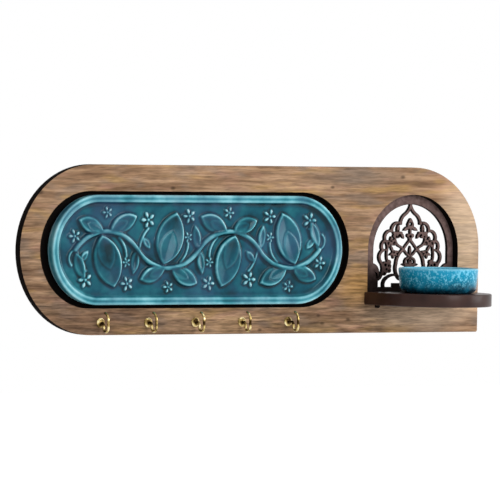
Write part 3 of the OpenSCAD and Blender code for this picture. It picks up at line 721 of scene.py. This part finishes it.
# Darker towards the foot: partly thick glaze, partly painted shade
pools_and_foot_shade = add_node(tree, "ShaderNodeMath", {
    0: pools.outputs["Fac"], 1: 0.9, 2: height_share.outputs[0]}, operation="MULTIPLY_ADD")
pools_and_foot_shade_share = add_node(tree, "ShaderNodeMapRange", {
    "Value": pools_and_foot_shade.outputs[0], "From Min": 0.3, "From Max": 1.5})
ground_glaze = add_node(tree, "ShaderNodeValToRGB", {"Fac": pools_and_foot_shade_share.outputs[0]}, steps=[
    (0.08, "01141E"), (0.24, "022F40"), (0.44, "046884"), (0.7, "0A86A8"), (1.0, "2C9AC2")])

# Flecks of about 4 mm and 2 mm, fewer towards the foot
speckle = 0.0
for scale, low, high in ((250.0, 0.55, 0.62), (480.0, 0.57, 0.64)):
    fleck_noise = add_node(tree, "ShaderNodeTexNoise", {
        "Vector": place, "Scale": scale, "Detail": 2.0, "Roughness": 0.6})
    fleck = add_node(tree, "ShaderNodeMapRange", {
        "Value": fleck_noise.outputs["Fac"], "From Min": low, "From Max": high, "To Min": 0.0,
        "To Max": 0.7})
    speckle = add_node(tree, "ShaderNodeMath", {0: speckle, 1: fleck.outputs[0]},
                       operation="MAXIMUM").outputs[0]
off_foot = add_node(tree, "ShaderNodeMapRange", {
    "Value": height_share.outputs[0], "From Min": 0.22, "From Max": 0.55, "To Min": 0.08})
fleck_share = add_node(tree, "ShaderNodeMath", {0: speckle, 1: off_foot.outputs[0]},
                       operation="MULTIPLY")
flecked = add_node(tree, "ShaderNodeMix", {
    0: fleck_share.outputs[0], 6: ground_glaze.outputs["Color"], 7: linear("7CCBE4")},
    data_type="RGBA")
thin_lip = add_node(tree, "ShaderNodeMapRange", {
    "Value": height_share.outputs[0], "From Min": 0.9, "From Max": 1.0, "To Min": 0.0,
    "To Max": 0.7})
lipped = add_node(tree, "ShaderNodeMix", {
    0: thin_lip.outputs[0], 6: flecked.outputs[2], 7: linear("8CCBDB")}, data_type="RGBA")
bowl_gloss = add_node(tree, "ShaderNodeBsdfPrincipled", {
    "Base Color": lipped.outputs[2], "Roughness": 0.25, "Specular IOR Level": 0.14,
    "Specular Tint": linear("8FD3E0"), "Coat Weight": 0.08, "Coat Roughness": 0.05})
add_node(tree, "ShaderNodeOutputMaterial", {"Surface": bowl_gloss.outputs[0]})
dress(frame["nodes"]["bowl"], bowl_glaze)

# Cup hooks. Brass wire bent cold, with a pressed brass collar threaded on before the hook is
# screwed into the board; polished and clear lacquered.
first_low, first_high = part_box("hook_collar_1")
HOOK_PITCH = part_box("hook_collar_2")[0].x - first_low.x

# Polished brass, lighter and darker in patches of about 6 mm that are partly polishing marks and
# partly painted reflections, with a painted dark reflection near each hook's own axis.
brass, tree, place = new_material("polished_brass")
polish_and_reflections = add_node(tree, "ShaderNodeTexNoise", {"Vector": place, "Scale": 170.0, "Detail": 1.0})
from_first = add_node(tree, "ShaderNodeVectorMath", {
    0: place, 1: ((first_low.x + first_high.x) / 2, 0.0, (first_low.z + first_high.z) / 2)},
    operation="SUBTRACT")
from_own = add_node(tree, "ShaderNodeVectorMath", {
    0: from_first.outputs[0], 1: (HOOK_PITCH / 2, 1.0, 1.0), 2: (-HOOK_PITCH / 2, -1.0, -1.0)},
    operation="WRAP")
across = add_node(tree, "ShaderNodeVectorMath", {0: from_own.outputs[0], 1: (1.0, 0.0, 1.0)},
                  operation="MULTIPLY")
off_axis = add_node(tree, "ShaderNodeVectorMath", {0: across.outputs[0]}, operation="LENGTH")
# Painted dark reflection near each hook's own axis
painted_dark_reflection = add_node(tree, "ShaderNodeMapRange", {
    "Value": off_axis.outputs["Value"], "From Min": 1.6 * mm, "From Max": 3.6 * mm,
    "To Min": -0.28, "To Max": 0.0})
tone_and_reflections = add_node(tree, "ShaderNodeMath", {0: polish_and_reflections.outputs["Fac"], 1: painted_dark_reflection.outputs[0]},
                  operation="ADD")
warm = add_node(tree, "ShaderNodeValToRGB", {"Fac": tone_and_reflections.outputs[0]}, steps=[
    (0.2, "33240F"), (0.38, "8A7444"), (0.52, "B8A36C"), (0.68, "E2D3A6")])
shine = add_node(tree, "ShaderNodeBsdfPrincipled", {
    "Base Color": warm.outputs["Color"], "Metallic": 1.0, "Roughness": 0.27})
add_node(tree, "ShaderNodeOutputMaterial", {"Surface": shine.outputs[0]})
for number in range(1, 6):
    dress(frame["nodes"][f"cup_hook_{number}"], brass, 50)
    dress(frame["nodes"][f"hook_collar_{number}"], brass, 40)

# Shelf screws. Zinc plated countersunk wood screws, driven from behind through the lattice
# panel and the board into the shelf. The plating is a dull grey with a bloom of about 2 mm.
zinc, tree, place = new_material("zinc_plated_steel")
bloom = add_node(tree, "ShaderNodeTexNoise", {"Vector": place, "Scale": 500.0, "Detail": 3.0})
grey = add_node(tree, "ShaderNodeValToRGB", {"Fac": bloom.outputs["Fac"]}, steps=[
    (0.3, "8C8A80"), (0.7, "B4B2A8")])
plating = add_node(tree, "ShaderNodeBsdfPrincipled", {
    "Base Color": grey.outputs["Color"], "Metallic": 1.0, "Roughness": 0.35})
add_node(tree, "ShaderNodeOutputMaterial", {"Surface": plating.outputs[0]})
for side in ("left", "right"):
    dress(frame["nodes"][f"shelf_screw_{side}"], zinc, 40)

# Studio. A pale floor and white surroundings, a large soft light in front, one from the right,
# a weak one from the left and one above, and the camera, which stands to the left of the board.
FLOOR_Z = -0.32
FLOOR_GLOW = 0.7
WORLD_LIGHT = 0.42


def seen_plainly(tree):
    """1 for a ray of the camera, of gloss or of glass, which all show the plain white, else 0"""
    path = add_node(tree, "ShaderNodeLightPath")
    seen = path.outputs["Is Camera Ray"]
    for ray in ("Is Glossy Ray", "Is Transmission Ray"):
        seen = add_node(tree, "ShaderNodeMath", {0: seen, 1: path.outputs[ray]},
                        operation="MAXIMUM").outputs[0]
    return seen


bpy.ops.mesh.primitive_plane_add(size=6, location=(0, 0, FLOOR_Z))
floor = bpy.context.object
floor.name = "studio_floor"
floor_white, tree, _ = new_material("pale_floor")
matt = add_node(tree, "ShaderNodeBsdfDiffuse", {"Color": linear("F2F2F2")})
strength = add_node(tree, "ShaderNodeMath", {0: seen_plainly(tree), 1: FLOOR_GLOW},
                    operation="MULTIPLY")
glow = add_node(tree, "ShaderNodeEmission", {"Strength": strength.outputs[0]})
pale = add_node(tree, "ShaderNodeAddShader", {0: matt.outputs[0], 1: glow.outputs[0]})
add_node(tree, "ShaderNodeOutputMaterial", {"Surface": pale.outputs[0]})
floor.data.materials.append(floor_white)

world = bpy.data.worlds.new("white_studio")
bpy.context.scene.world = world
world.use_nodes = True
tree = world.node_tree
tree.nodes.clear()
strength = add_node(tree, "ShaderNodeMapRange", {
    "Value": seen_plainly(tree), "To Min": WORLD_LIGHT, "To Max": 1.0})
sky = add_node(tree, "ShaderNodeBackground", {
    "Color": linear("FFFFFF"), "Strength": strength.outputs[0]})
add_node(tree, "ShaderNodeOutputWorld", {"Surface": sky.outputs[0]})

# Each light has its place and its side in metres, and its power in watts
for name, spot, size, power in (
        ("key_softbox", (0.45, -2.1, 0.55), 1.0, 22.0),
        ("right_light", (1.9, -1.0, 0.3), 0.9, 14.0),
        ("left_fill", (-1.6, -2.6, 0.6), 1.5, 4.0),
        ("top_light", (0.2, -0.9, 2.0), 1.2, 8.0)):
    bpy.ops.object.light_add(type="AREA", location=spot)
    lamp = bpy.context.object
    lamp.name = name
    lamp.data.size = size
    lamp.data.energy = power
    lamp.rotation_euler = Vector(spot).to_track_quat("Z", "Y").to_euler()

# The camera's place and its angles, in radians, were fitted to the outlines of the real board
CAMERA_PLACE = Vector((-3318.6, -4913.6, 147.9)) * mm
CAMERA_YAW = 0.5942893
CAMERA_PITCH = -0.0250145
CAMERA_ROLL = 0.0173158
CAMERA_LENS = 421.04
forward = Vector((math.sin(CAMERA_YAW) * math.cos(CAMERA_PITCH),
                  math.cos(CAMERA_YAW) * math.cos(CAMERA_PITCH), math.sin(CAMERA_PITCH)))
level = Vector((math.cos(CAMERA_YAW), -math.sin(CAMERA_YAW), 0))
above = level.cross(forward)
right = math.cos(CAMERA_ROLL) * level + math.sin(CAMERA_ROLL) * above
up = math.cos(CAMERA_ROLL) * above - math.sin(CAMERA_ROLL) * level
bpy.ops.object.camera_add(location=CAMERA_PLACE)
camera = bpy.context.object
camera.rotation_euler = Matrix((right, up, -forward)).transposed().to_euler()
camera.data.sensor_width = 36
camera.data.lens = CAMERA_LENS
camera.data.clip_end = 100
bpy.context.scene.camera = camera
bpy.context.scene.view_settings.view_transform = "Standard"
